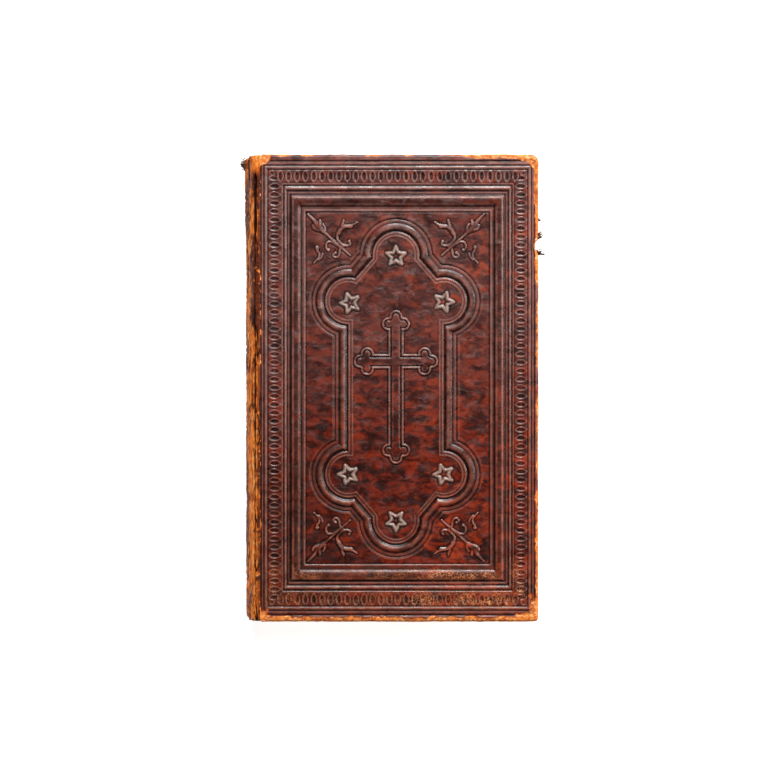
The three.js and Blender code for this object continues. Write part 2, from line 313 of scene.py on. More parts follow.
# A sprig's strokes, out from its root towards the corner: width at each end, height, points.
SPRIG_ROOT = (16.6, 48.0)
SPRIG_STROKES = (
    (0.36, 0.5, 0.34, (0, 0.1), (4.6, 4.2), (9.2, 8.3)),
    (0.42, 0.4, 0.3, (3.1, 2.7), (5.4, 4.3), (6.6, 5.0), (8.1, 5.0), (8.8, 3.9), (8.6, 2.6), (7.9, 2.0)),
    (0.38, 0.4, 0.26, (3.6, 2.9), (3.9, 1.3), (4.1, 0.1), (4.9, -0.6), (5.9, -0.4), (6.2, 0.4),
     (5.5, 1.0)),
    (0.36, 0.6, 0.3, (2.6, 3.3), (4.1, 5.2), (4.7, 6.3), (4.6, 7.6), (3.8, 8.8)),
    (0.42, 0.4, 0.28, (4.1, 5.4), (2.5, 3.9), (1.0, 3.7), (0.0, 4.2), (0.4, 5.2)),
    (0.9, 0.7, 0.36, (4.2, 8.2), (3.4, 9.6), (1.9, 10.6), (-0.4, 10.6)),
    (0.8, 0.35, 0.34, (3.0, 9.8), (2.8, 11.4), (2.4, 13.0)),
    (0.6, 0.25, 0.32, (0.6, 10.9), (-0.9, 11.2), (-2.6, 12.3)),
    (0.9, 1.5, 0.4, (9.6, 8.8), (10.9, 9.9), (11.9, 10.9)),
    (0.9, 0.45, 0.36, (11.2, 10.8), (11.0, 12.8)),
    (1.0, 0.22, 0.36, (12.2, 10.8), (13.0, 12.6), (15.5, 15.2)),
    (0.9, 0.5, 0.34, (11.6, 9.6), (13.0, 10.0), (13.6, 11.0)),
    (0.6, 0.35, 0.3, (9.3, 9.0), (9.3, 10.4), (9.9, 11.4)),
    (0.4, 0.3, 0.32, (12.1, 2.9), (12.0, 1.9), (11.3, 0.8), (11.4, -0.4), (12.3, -1.7), (13.2, -2.6)),
    (0.3, 0.5, 0.28, (10.0, 0.8), (10.4, -0.4), (11.4, -1.4)),
)
SPRIG_BEADS = ((7.9, 2.0, 0.75), (5.4, 1.0, 0.7), (0.4, 5.2, 0.7), (12.1, 2.9, 0.85))


def ring_place(u, v):
    """Distance in from the design's edge, counted so that each border line keeps one value."""
    from_side = DESIGN_HALF_WIDTH - np.abs(u)
    from_end = np.interp(HALF_HEIGHT - np.abs(v), RING_AT_ENDS, RING_AT_SIDES)
    return np.minimum(from_side, from_end), from_side < from_end


def ellipse_distance(x, y, half_x, half_y):
    """About the distance from the outline of an ellipse."""
    size = np.sqrt((x / half_x) ** 2 + (y / half_y) ** 2) + 1e-9
    slope = np.sqrt((x / half_x**2) ** 2 + (y / half_y**2) ** 2) / size + 1e-9
    return np.abs(size - 1) / slope


def chain_height(across, along):
    """A chain of rings that overlap by half, sunk where they overlap and slit between."""
    nearest = along - CHAIN_PITCH * np.round(along / CHAIN_PITCH)
    height = 0.2 - 0.42 * bump(np.hypot(nearest / 0.9, across / 1.8), 1)
    slit = CHAIN_PITCH / 2 - np.abs(nearest)
    height = height - 0.2 * bump(np.hypot(slit / 0.3, across / 1.4), 1)
    for step in (-1.5, -0.5, 0.5, 1.5):
        ring = ellipse_distance(nearest + step * CHAIN_PITCH, across, *CHAIN_RING)
        height = np.maximum(height, 0.36 * bump(ring, CHAIN_LINE))
    return height * (np.abs(across) < CHAIN_HALF_WIDTH)


def border_height(u, v):
    """The lines, the roll and the chain of the border."""
    ring, at_side = ring_place(u, v)
    height = profile(ring, BORDER)
    roll = np.clip(1 - ((ring - ROLL_PLACE) / ROLL_HALF_WIDTH) ** 2, 0, 1)
    height = height + ROLL_HEIGHT * np.sqrt(roll)
    along = np.where(at_side, v, u)
    return height + chain_height(ring - CHAIN_MIDDLE, along)


def panel_distance(u, v):
    """Distance outside the lobed panel in the middle, below 0 inside it."""
    au, av = np.abs(u), np.abs(v)
    distance = np.maximum(au - PANEL_HALF[0], av - PANEL_HALF[1])
    for lobe_u, lobe_v, radius in LOBES:
        distance = np.minimum(distance, np.hypot(au - lobe_u, av - lobe_v) - radius)
    run = DIAGONAL_TO - DIAGONAL_FROM
    normal = np.array((-run[1], run[0])) / np.hypot(*run)
    beyond = (au - DIAGONAL_FROM[0]) * normal[0] + (av - DIAGONAL_FROM[1]) * normal[1]
    diagonal = np.maximum.reduce([beyond, av - LOBES[0][1], au - LOBES[1][0], LOBES[1][1] - av])
    return np.minimum(distance, diagonal)


def band_mask(value, low, high):
    """1 between low and high, with soft ends."""
    return smoothstep(0.2, -0.2, np.maximum(low - value, value - high))


def box_distance(x, y, low_x, high_x, low_y, high_y):
    """Distance outside a rectangle, below 0 inside it."""
    dx = np.maximum(low_x - x, x - high_x)
    dy = np.maximum(low_y - y, y - high_y)
    return np.hypot(np.maximum(dx, 0), np.maximum(dy, 0)) + np.minimum(np.maximum(dx, dy), 0)


def cross_distance(u, v, half_width, lobe_radius):
    """Distance outside a cross with three-lobed ends."""
    heart_radius = lobe_radius + 0.75
    top, foot, left, right = CROSS_ENDS
    shaft = box_distance(u, v, -half_width, half_width, foot[1], top[1])
    arm_half = half_width * 0.92
    arms = box_distance(u, v, left[0], right[0], left[1] - arm_half, left[1] + arm_half)
    distance = np.minimum(shaft, arms)
    for end_u, end_v, angle in CROSS_ENDS:
        out = np.array((math.cos(math.radians(angle)), math.sin(math.radians(angle))))
        over = np.array((-out[1], out[0]))
        heart = np.hypot(u - end_u - 0.5 * out[0], v - end_v - 0.5 * out[1]) - heart_radius
        distance = np.minimum(distance, heart)
        for ahead, aside in ((2.57, 0), (0, 2.7), (0, -2.7)):
            centre = out * ahead + over * aside
            lobe = np.hypot(u - end_u - centre[0], v - end_v - centre[1]) - lobe_radius
            distance = np.minimum(distance, lobe)
    return distance


def cross_height(u, v):
    """The cross: a raised outline, a channel within it and a low middle."""
    outer = cross_distance(u, v, 2.4, 2.0)
    inner = cross_distance(u, v, 1.4, 1.15)
    outline = 0.4 * bump(outer, 0.42)
    channel = -0.22 * smoothstep(-0.25, -0.5, outer) * smoothstep(-0.1, 0.25, inner)
    middle = 0.08 * smoothstep(0.25, -0.1, inner)
    moat = -0.08 * bump(outer - 0.7, 0.35)
    return outline + channel + middle + moat


def stroke_distance(x, y, path):
    """Distance from a line through points, and how far along it the nearest point is, 0 to 1."""
    nearest = np.full(x.shape, 1e3)
    along = np.zeros(x.shape)
    lengths = np.hypot(*np.diff(path, axis=0).T)
    total = lengths.sum()
    done = 0
    for start, end, length in zip(path[:-1], path[1:], lengths):
        run = end - start
        t = np.clip(((x - start[0]) * run[0] + (y - start[1]) * run[1]) / length**2, 0, 1)
        distance = np.hypot(x - start[0] - t * run[0], y - start[1] - t * run[1])
        along = np.where(distance < nearest, (done + t * length) / total, along)
        nearest = np.minimum(nearest, distance)
        done += length
    return nearest, along


def star_outline(place_u, place_v, angle):
    """The ten corners of a star, back to the first."""
    turns = math.radians(angle) + np.arange(11) * math.pi / 5
    radii = np.where(np.arange(11) % 2 == 0, STAR_RADIUS, STAR_RADIUS * STAR_INNER_SHARE)
    return np.stack([place_u + radii * np.cos(turns), place_v + radii * np.sin(turns)], axis=-1)


def add_star(height, pale, u, v, place):
    """Adds the outline of one star to the height and rubs it pale."""
    near = np.hypot(u - place[0], v - place[1]) < STAR_RADIUS + 1.5
    distance, _ = stroke_distance(u[near], v[near], star_outline(*place))
    distance = distance + 0.16 * cloud(u[near], v[near], 1.4, 60, 2)
    raised = 0.42 * bump(distance, 0.62) - 0.12 * bump(distance - 1.0, 0.45)
    height[near] = height[near] + raised
    pale[near] = np.maximum(pale[near], bump(distance, 0.8))


def add_sprig(height, u, v, sign_u, sign_v):
    """Adds one sprig to the height, in the corner that the signs give."""
    a = sign_u * u - SPRIG_ROOT[0]
    b = sign_v * v - SPRIG_ROOT[1]
    near = (a > -5) & (a < 18) & (b > -5) & (b < 18)
    a, b = a[near], b[near]
    raised = np.zeros(a.shape)
    moat = np.zeros(a.shape)
    for start_width, end_width, rise, *points in SPRIG_STROKES:
        distance, along = stroke_distance(a, b, smooth_path(points))
        width = start_width + (end_width - start_width) * along
        raised = np.maximum(raised, rise * bump(distance, width + 0.08))
        moat = np.maximum(moat, bump(distance - width - 0.2, 0.3))
    for bead_a, bead_b, radius in SPRIG_BEADS:
        distance = np.hypot(a - bead_a, b - bead_b)
        raised = np.maximum(raised, 0.4 * bump(distance, radius))
        moat = np.maximum(moat, bump(distance - radius - 0.1, 0.3))
    height[near] += np.where(raised > 0.03, raised, -0.14 * moat)


def tooled_height(u, v):
    """Height of the whole design, where it is rubbed pale, and where painted shade lies on its roll and
    moulding body and a painted grey sheen on its flats.
    """
    height = border_height(u, v)
    ring, _ = ring_place(u, v)
    u = u - INNER_SHIFT
    panel = panel_distance(u, v)
    height = height + profile(panel, MOULDING) * (panel < MOULDING_WIDTH)
    near_cross = (np.abs(u) < 18) & (np.abs(v) < 31)
    height[near_cross] += cross_height(u[near_cross], v[near_cross])
    pale = np.zeros(u.shape)
    for place in STAR_PLACES:
        add_star(height, pale, u, v, place)
    for sign_u in (-1, 1):
        for sign_v in (-1, 1):
            add_sprig(height, u, v, sign_u, sign_v)
    # Painted shade: the middles of the roll and the moulding are darkened in colour, standing in for the
    # shade on their lee sides.
    stain = np.maximum(band_mask(panel, *MOULDING_BODY), band_mask(ring, *ROLL_BODY))
    # Painted reflection: a grey sheen on the flat bands, standing in for a lamp mirrored in them.
    polish = np.zeros(u.shape)
    for low, high in MOULDING_FLATS:
        polish = np.maximum(polish, band_mask(panel, low, high))
    for low, high in BORDER_FLATS:
        polish = np.maximum(polish, band_mask(ring, low, high))
    return height, {"pale": pale, "stain": stain, "polish": polish}


# ---- The outline of a cover ----

CORNER_RADII = {(1, 1): 3.0, (1, -1): 1.8, (-1, 1): 1.2, (-1, -1): 1.2}
NICK_MIDDLE = 51.5  # the torn place in the fore-edge, towards the head
NICK_HALF_LENGTH = 3.4
NICK_DEPTH = 1.3
SEEDS = {"front": 11, "back": 53}
JOINT_SEEDS = {"front": 81, "back": 95}
GRID_STEP = 0.27  # between points of the tooled face
TURN_IN_WIDTH = 8.6
FACE_GROUND = BOOK_TOP - GROUND_DEPTH
LEATHER_INNER = COVER_LOW[2]  # the turn-ins' lower face


def round_corners(x, y):
    """Moves a rectangle's corner points in, so that its outer rows follow round corners."""
    x = x - COVER_X
    for (sign_x, sign_y), radius in CORNER_RADII.items():
        a = sign_x * x - (COVER_HALF_WIDTH - radius)
        b = sign_y * y - (HALF_HEIGHT - radius)
        inside = (a > 0) & (b > 0)
        length = np.hypot(a, b) + 1e-9
        share = np.maximum(a, b) / length
        x = np.where(inside, sign_x * (COVER_HALF_WIDTH - radius + a * share), x)
        y = np.where(inside, sign_y * (HALF_HEIGHT - radius + b * share), y)
    return x + COVER_X, y


def cover_grid(columns, rows):
    """A table of points over a cover, with round corners."""
    across = np.linspace(COVER_LOW[0], FORE_EDGE, columns)
    x, y = np.meshgrid(across, np.linspace(-HALF_HEIGHT, HALF_HEIGHT, rows))
    return round_corners(x, y)


def outline_depth(x, y):
    """Distance in from the rounded outline, and the direction straight in."""
    local_x = x - COVER_X
    radius = np.zeros(x.shape)
    for (sign_x, sign_y), corner in CORNER_RADII.items():
        radius = np.where((sign_x * local_x >= 0) & (sign_y * y >= 0), corner, radius)
    a = np.abs(local_x) - (COVER_HALF_WIDTH - radius)
    b = np.abs(y) - (HALF_HEIGHT - radius)
    in_corner = (a > 0) & (b > 0)
    reach = np.hypot(a, b) + 1e-9
    depth = np.where(in_corner, radius - reach, radius - np.maximum(a, b))
    inward_x = np.where(in_corner, -a / reach, np.where(a > b, -1.0, 0.0)) * np.sign(local_x)
    inward_y = np.where(in_corner, -b / reach, np.where(a > b, 0.0, -1.0)) * np.sign(y)
    return depth, inward_x, inward_y


def outline_inset(x, y, seed):
    """How far the worn leather has drawn back from the board's full outline."""
    ragged = 0.04 + 0.16 * cloud(x, y, 9, seed, 3) + 0.08 * cloud(x, y, 1.6, seed + 7, 2)
    nick = bump(y - NICK_MIDDLE, NICK_HALF_LENGTH) * (x > FORE_EDGE - 6)
    torn = nick * (NICK_DEPTH + 0.5 * cloud(x, y, 1.1, seed + 9, 2))
    at_spine = smoothstep(COVER_LOW[0] + 1.5, COVER_LOW[0] + 4, x)
    return (np.clip(ragged, -0.1, 0.4) + (torn if seed == SEEDS["front"] else 0)) * at_spine


# Worn-through corners of a cover: x, y, and how far from there the tan reaches.
WORN_CORNERS = (
    (FORE_EDGE, HALF_HEIGHT, 8.0),
    (FORE_EDGE, -HALF_HEIGHT, 11.0),
    (COVER_LOW[0], HALF_HEIGHT, 4.5),
    (COVER_LOW[0], -HALF_HEIGHT, 5.0),
)


def cover_wear(x, y, depth, seed):
    """How far the leather's skin is worn through to tan: edges first, then corners."""
    rough = cloud(x, y, 5, seed + 20) + 0.5 * cloud(x, y, 1.2, seed + 21)
    fore = smoothstep(FORE_EDGE - 4, FORE_EDGE - 1, x)
    tail = smoothstep(-HALF_HEIGHT + 5, -HALF_HEIGHT + 2, y)
    head = smoothstep(HALF_HEIGHT - 5, HALF_HEIGHT - 2, y)
    fore = fore * (0.5 + 1.1 * smoothstep(34, 44, y) + 0.5 * smoothstep(-30, -40, y))
    head = head * (0.3 + 1.5 * smoothstep(18, 34, x))
    reach = -0.1 + fore + 1.7 * tail + head + 1.2 * rough
    edge = smoothstep(reach + 0.4, reach - 0.3, depth)
    rim = smoothstep(4.4, 2.4, depth + rough)
    for corner_x, corner_y, size in WORN_CORNERS:
        away = np.hypot(x - corner_x, y - corner_y) + 2.5 * rough
        edge = np.maximum(edge, smoothstep(size, size * 0.55, away) * rim)
    return edge


def crackle_mask(u, v, seed):
    """Where the skin is crazed: the roll and chain along the tail, most towards the fore-edge."""
    ring, _ = ring_place(u, v)
    low = smoothstep(-62, -66, v) * (0.25 + 0.75 * smoothstep(-6, 20, u))
    roll = bump(ring - ROLL_PLACE, 2.4) * smoothstep(38, 34, u)
    chain = 0.75 * bump(ring - CHAIN_MIDDLE, 4.4) * smoothstep(48, 42, u)
    return np.clip(low * np.maximum(roll, chain) * (0.9 + 1.5 * cloud(u, v, 5, seed + 30)), 0, 1)


def tone_marks(u, v, seed):
    """Where the leather is painted greyer towards the head and deep and dark towards the tail, a painted
    reflection of the head lamp, and where red shows through it.
    """
    # Painted reflection: greyer at the head, fading to deep dark colour at the tail.
    deep = smoothstep(34, -34, v + 9 * cloud(u, v, 22, seed + 32))
    fiery = 0.28 + 0.4 * smoothstep(-30, 45, u) + 0.3 * smoothstep(30, -70, v)
    fiery = fiery + 0.55 * cloud(u, v, 17, seed + 33, 3)
    shade = smoothstep(0, -45, v) * smoothstep(10, -40, u)
    return {"deep": deep, "fiery": np.clip(fiery, 0, 1), "shade": shade}


def cover_face_points(seed):
    """The leather's face as a table of points, with what its material needs to know."""
    x, y = cover_grid(int(2 * COVER_HALF_WIDTH / GRID_STEP), int(2 * HALF_HEIGHT / GRID_STEP))
    u, v = x - DESIGN_X, y
    height, marks = tooled_height(u, v)
    height = height * (0.88 + 0.16 * cloud(u, v, 14, seed + 3, 3))
    height = height + 0.025 * cloud(u, v, 3.5, seed + 4) + 0.012 * cloud(u, v, 0.8, seed + 5, 2)
    depth, inward_x, inward_y = outline_depth(x, y)
    inset = outline_inset(x, y, seed) * np.clip(1 - depth / 4, 0, 1) ** 2
    wear = cover_wear(x, y, depth, seed)
    height = height * (1 - 0.55 * wear) - 0.05 * wear
    standing = height - blurred(height, 3)
    marks |= tone_marks(u, v, seed)
    marks |= {
        "worn": wear,
        "crackle": crackle_mask(u, v, seed),
        # crest: where a painted highlight goes on the ridge tops, partly rubbed leather
        "crest": smoothstep(0.02, 0.13, standing),
        # groove: where painted shade goes in the hollows
        "groove": smoothstep(-0.02, -0.13, standing) * (1 - 0.7 * wear),
        "dull": np.zeros(u.shape),
    }
    from_edge = np.where(x < COVER_LOW[0] + 2, EDGE_ROUNDING, depth)
    fall = np.clip(EDGE_ROUNDING - from_edge, 0, EDGE_ROUNDING)
    drop = EDGE_ROUNDING - np.sqrt(EDGE_ROUNDING**2 - fall**2)
    z = FACE_GROUND + np.clip(height, -0.3, GROUND_DEPTH) - drop
    return xyz(x + inset * inward_x, y + inset * inward_y, z), marks


WRAP_WORN = (1.0, 1.0, 0.9, 0.5, 0.2, 0, 0, 0, 0)  # how far each row below is worn to tan


def wrapped_rings(rim, inward):
    """Rows of points that carry the leather's rim down the board's edge and onto its inner face."""
    wall = LEATHER_INNER + 0.3
    stops = [
        (-0.05, rim[:, 2] * 0.5 + wall * 0.5),
        (-0.02, wall + 0.25),
        (0.08, wall - 0.1),
        (0.35, LEATHER_INNER),
        (1.4, LEATHER_INNER),
        (4.5, LEATHER_INNER + 0.02),
        (TURN_IN_WIDTH - 0.5, LEATHER_INNER + 0.03),
        (TURN_IN_WIDTH, LEATHER_INNER + 0.12),
        (TURN_IN_WIDTH + 0.05, LEATHER_INNER + 0.3),
    ]
    rings = []
    for reach, z in stops:
        ring = rim.copy()
        ring[:, :2] += inward * reach
        ring[:, 2] = z
        rings.append(ring)
    return np.stack(rings)


def turn_in_direction(rim):
    """Straight in from each side, and along the mitre at the fore-edge corners."""
    near_fore = FORE_EDGE - rim[:, 0]
    near_end = HALF_HEIGHT - np.abs(rim[:, 1])
    reach_x = np.clip(1 - near_fore / TURN_IN_WIDTH, 0, 1)
    reach_y = np.clip(1 - near_end / TURN_IN_WIDTH, 0, 1)
    return np.stack([-reach_x, -np.sign(rim[:, 1]) * reach_y], axis=-1)


def on_side(points, side):
    """Points made for the front cover, or the same points mirrored to the back cover."""
    if side == "front":
        return points
    return points * (1, 1, -1) + (0, 0, BOOK_TOP)


def make_cover_leather(side):
    """A cover's leather: the tooled face, carried round the edges and turned in over the board."""
    seed = SEEDS[side]
    points, marks = cover_face_points(seed)
    back = side == "back"
    build = Builder()
    face = build.add_points(on_side(points, side), **marks)
    build.add_grid(face, flip=back)
    rim_numbers = np.concatenate([face[0, :], face[1:, -1], face[-1, -2::-1]])
    rim = points.reshape(-1, 3)[rim_numbers]
    rings = wrapped_rings(rim, turn_in_direction(rim))
    along = np.arange(len(rim)) * GRID_STEP
    rough = cloud(along, along * 0, 4, seed + 40)
    ring_worn = np.clip(np.array(WRAP_WORN)[:, None] + 0.5 * rough, 0, 1)
    plain = dict.fromkeys(sorted(set(marks) - {"worn", "dull"}), 0.0)
    wrapped = build.add_points(on_side(rings, side), worn=ring_worn, dull=1.0, **plain)
    build.add_grid(np.vstack([rim_numbers, wrapped]), flip=not back)
    cut = points[:, 0].copy()
    cut[:, 2] = BOARD_HIGH[2] + 0.02
    cut_numbers = build.add_points(on_side(cut[None], side), worn=1.0, dull=1.0, **plain)[0]
    build.add_grid(np.stack([face[:, 0], cut_numbers]), flip=back)
    leather = build.make(f"{side}_cover_tooled_leather")
    return fit(leather, f"{side}_cover", f"{side}_cover_leather")


# ---- Spine and joints ----

LEATHER_ROW = 0.4  # between rows of points along the spine
SPINE_HALF_ANGLE = math.asin((SPINE_HIGH[2] - MIDDLE_Z) / SPINE_RADIUS)
SPINE_SKIN_RADIUS = LINING_RADIUS + 1.15
HEADCAP_START = 82.6
HEADCAP_ROUNDING = 1.9
TURNED_IN = 2.9  # how far the leather reaches in over the bands
FILLET_PLACES = (14.0, 42.0, 70.0)  # pairs of blind lines across the spine, this far from its middle
FILLET_HALF_GAP = 1.1
JOINT_THICKNESS = 0.4
TUFT_Y = 81.6  # the torn place in the spine at the head


def spine_relief(y, across, intact, seed):
    """Cracks, flakes and rubbed fibres in millimetres, with masks of the cracks and the lost skin."""
    wander = 1.2 * cloud(y, across * 0, 14, seed + 1, 3)
    split = np.abs(cloud(y * 0.12, across + wander, 2.2, seed + 2, 3))
    open_here = smoothstep(-0.35, 0.15, cloud(y * 0.4, across, 7, seed + 6, 2))
    cracks = smoothstep(0.11, 0.02, split) * open_here
    lost = cloud(y * 0.35, across, 5.5, seed + 3) + 0.3 * cloud(y, across, 1.3, seed + 7, 2)
    flakes = smoothstep(-0.12, 0.06, lost - 0.42 * intact)
    fibres = cloud(y * 0.3, across, 0.5, seed + 4, 2)
    grit = cloud(y, across, 0.7, seed + 5, 2)
    relief = -0.16 * flakes + 0.07 * fibres * (0.4 + 0.6 * flakes) + 0.05 * grit - 0.3 * cracks
    return relief, cracks, flakes


def on_spine(radius, angle, y):
    """Points at a radius and angle round the spine's axis."""
    return xyz(ARC_X - radius * np.cos(angle), y, MIDDLE_Z + radius * np.sin(angle))


def fillet_mask(y):
    """1 on the pairs of blind lines across the spine."""
    places = [place + step for place in FILLET_PLACES for step in (-FILLET_HALF_GAP, FILLET_HALF_GAP)]
    return np.maximum.reduce([bump(np.abs(y) - place, 0.55) for place in places])


def make_spine_leather():
    """The rounded spine: worn leather over the lining, turned in over the bands at both ends."""
    rows = np.linspace(SPINE_LOW[1], SPINE_HIGH[1], int(2 * SPINE_HIGH[1] / LEATHER_ROW))
    angles = np.linspace(-SPINE_HALF_ANGLE, SPINE_HALF_ANGLE, 58)
    y, angle = np.meshgrid(rows, angles, indexing="ij")
    across = angle * SPINE_RADIUS
    intact = smoothstep(6.5, 4.0, np.abs(across + 5.5)) * smoothstep(82, 76, np.abs(y))
    relief, cracks, flakes = spine_relief(y, across, intact, 71)
    fillets = fillet_mask(y)
    relief = relief - 0.28 * fillets * (1 - 0.6 * flakes)
    cracks = np.maximum(cracks, 0.75 * fillets * (1 - flakes))
    bumps = 0.22 * cloud(y, across, 5, 72, 3)
    tuft = 0.8 * bump(y - TUFT_Y, 2.2) * bump(across - 2, 9)
    swelling = 0.7 * smoothstep(45, 78, y) * bump(across, 13)
    cap = np.clip((np.abs(y) - HEADCAP_START) / (SPINE_HIGH[1] - HEADCAP_START), 0, 1)
    rounding = HEADCAP_ROUNDING * (1 - np.sqrt(np.clip(1 - cap**2, 0, 1)))
    outer = SPINE_SKIN_RADIUS + relief + bumps - rounding + tuft + swelling
    outer = np.maximum(outer, LINING_RADIUS + 0.12 - rounding)
    turned_in = smoothstep(HEADCAP_START + 0.9, HEADCAP_START + 1.2, np.abs(y))
    inner = np.minimum(LINING_RADIUS + 0.05 - TURNED_IN * turned_in, outer - 0.1)
    build = Builder()
    faces = [on_spine(radius, angle, y) for radius in (outer, inner)]
    build.add_closed_sheet(*faces, cracks=cracks, skin=1 - flakes)
    return fit(build.make("spine_worn_leather"), "text_block", "spine_leather")


def joint_path():
    """The joint leather's outer line in x and z, from the spine's edge up to the cover's face."""
    end_angle = math.asin((SPINE_HIGH[2] - 0.6 - MIDDLE_Z) / SPINE_RADIUS)
    start_x, _, start_z = on_spine(SPINE_SKIN_RADIUS, end_angle, 0)
    return [
        (start_x - 0.06, start_z),
        (HINGE_X - 2.25, BOOK_TOP - 4.8),
        (HINGE_X - 1.7, BOOK_TOP - 2.9),
        (HINGE_X - 0.9, BOOK_TOP - 1.5),
        (HINGE_X + 0.1, BOOK_TOP - 0.7),
        (COVER_LOW[0] - 0.35, BOOK_TOP - 0.55),
        (COVER_LOW[0] + 0.15, BOOK_TOP - 0.6),
    ]


def joint_crack(y, along, seed):
    """The long crack beside the cover's edge, widest below the head: 1 in its middle."""
    width = 0.45 + 0.8 * smoothstep(50, 60, y) + 0.45 * cloud(y, y * 0, 7, seed + 12, 3)
    width = np.clip(width, 0.1, 1.5) * smoothstep(79, 76, np.abs(y)) + 0.01
    wander = 0.35 * cloud(y, y * 0, 11, seed + 11, 3)
    return bump(along - (along.max() - 2.2) - wander, width)


def make_joint_leather(side):
    """The flexible leather between the spine and a cover, which bends with the cover's hinge."""
    seed = JOINT_SEEDS[side]
    path = smooth_path(joint_path(), 8)
    run = np.gradient(path, axis=0)
    normal = np.stack([-run[:, 1], run[:, 0]], axis=-1)
    normal = normal / np.hypot(*normal.T)[:, None]
    across = np.concatenate([[0], np.cumsum(np.hypot(*np.diff(path, axis=0).T))])
    length = across[-1]
    half_y = SPINE_HIGH[1]
    rows = np.linspace(-half_y, half_y, int(2 * half_y / LEATHER_ROW))
    y, along = np.meshgrid(rows, across, indexing="ij")
    relief, cracks, flakes = spine_relief(y, along, 0.1, seed)
    deep = joint_crack(y, along, seed)
    fixed = np.minimum(smoothstep(0, 1.0, along), smoothstep(length, length - 0.8, along))
    bumps = 0.25 * cloud(y, along, 4, seed + 13, 3)
    ends = smoothstep(half_y, half_y - 1.2, np.abs(y))
    lift = (relief + bumps - 0.9 * deep - 0.5 * (1 - ends)) * fixed
    faces = []
    for rise in (lift, np.minimum(lift - 0.2, -JOINT_THICKNESS)):
        x, z = (path[:, i] + rise * normal[:, i] for i in (0, 1))
        faces.append(on_side(xyz(x, y, z), side))
    skin = np.clip(1 - flakes + 0.8 * smoothstep(length - 1.6, length - 0.6, along), 0, 1)
    build = Builder()
    dark = np.maximum(cracks, smoothstep(0.05, 0.4, deep))
    build.add_closed_sheet(*faces, cracks=dark, skin=skin * smoothstep(80, 77, y))
    leather = build.make(f"{side}_joint_worn_leather")
    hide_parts(f"{side}_joint_leather")
    (start_x, start_z), (end_x, end_z) = path[0], path[-1]
    start, end = on_side(np.array([(start_x, 0, start_z), (end_x, 0, end_z - 0.3)]), side) * MM
    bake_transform(leather, "text_block", f"{side}_cover", start=tuple(start), end=tuple(end))
    return leather


# ---- Boards ----


def make_board(side):
    """Grey-brown millboard with slightly bruised edges, inside the leather."""
    seed = SEEDS[side]
    x, y = cover_grid(90, 150)
    depth, inward_x, inward_y = outline_depth(x, y)
    share = np.clip(1 - depth / 5, 0, 1) ** 2
    inset = (outline_inset(x, y, seed) * 0.8 + 0.42) * share * smoothstep(-0.1, 0.4, x - COVER_LOW[0])
    x, y = x + inset * inward_x, y + inset * inward_y
    bruise = 0.03 * cloud(x, y, 3, seed + 60) * share
    top = xyz(x, y, BOARD_HIGH[2] - 0.03 + bruise)
    low = xyz(x, y, BOARD_LOW[2])
    if side == "back":
        top, low = low, top
    build = Builder()
    build.add_closed_sheet(on_side(top, side), on_side(low, side))
    return fit(build.make(f"{side}_millboard"), f"{side}_cover", f"{side}_board")


# ---- Paper ----

CORD_PLACES = [box_mm(f"sewing_cord_{i}")[0][1] + 0.5 for i in range(1, 5)]
SHEETS_PER_SECTION = 4
SHEET_THICKNESS = 0.15
PAPER_HALF_HEIGHT = 81.4
FLAT_POINTS = 12  # across each half of a folded sheet
FOLD_POINTS = 9
CUT_HALF_WIDTH = 0.65  # of the saw cuts for the cords
CUT_DEPTH = 1.2
LEAF_HALF = 0.045  # half of a loose leaf's thickness
GUTTER_SET_IN = 3.6  # of the first leaves, which leave room for the front joint's fold


def page_marks(x, y, low, high):
    """How near a point of a page is to the page's outer edges, for toning."""
    from_edge = np.minimum.reduce([high[0] - x, high[1] - y, y - low[1]])
    return smoothstep(14, 0, from_edge)


def section_stations():
    """Places along y with a pair of rows at each saw cut."""
    reaches = [edge + step for edge in (-CUT_HALF_WIDTH, CUT_HALF_WIDTH) for step in (-0.01, 0.01)]
    cuts = [place + reach for place in CORD_PLACES for reach in reaches]
    return np.array(sorted([*np.linspace(-1, 1, 31) * PAPER_HALF_HEIGHT, *cuts]))


def folded_line(fold_x, half, middle_z, ends, inset):
    """One face of a folded sheet in x and z: in along the top, round the fold and out below."""
    straight = fold_x + half + 1.5
    turn = np.linspace(math.pi / 2, 3 * math.pi / 2, FOLD_POINTS)
    reach = half - inset
    upper = np.linspace(ends[0], straight, FLAT_POINTS)
    lower = np.linspace(straight, ends[1], FLAT_POINTS)
    x = np.concatenate([upper, fold_x + half + reach * np.cos(turn), lower])
    flat = np.ones(FLAT_POINTS)
    z = np.concatenate([flat, np.sin(turn), -flat]) * reach + middle_z
    return x, z


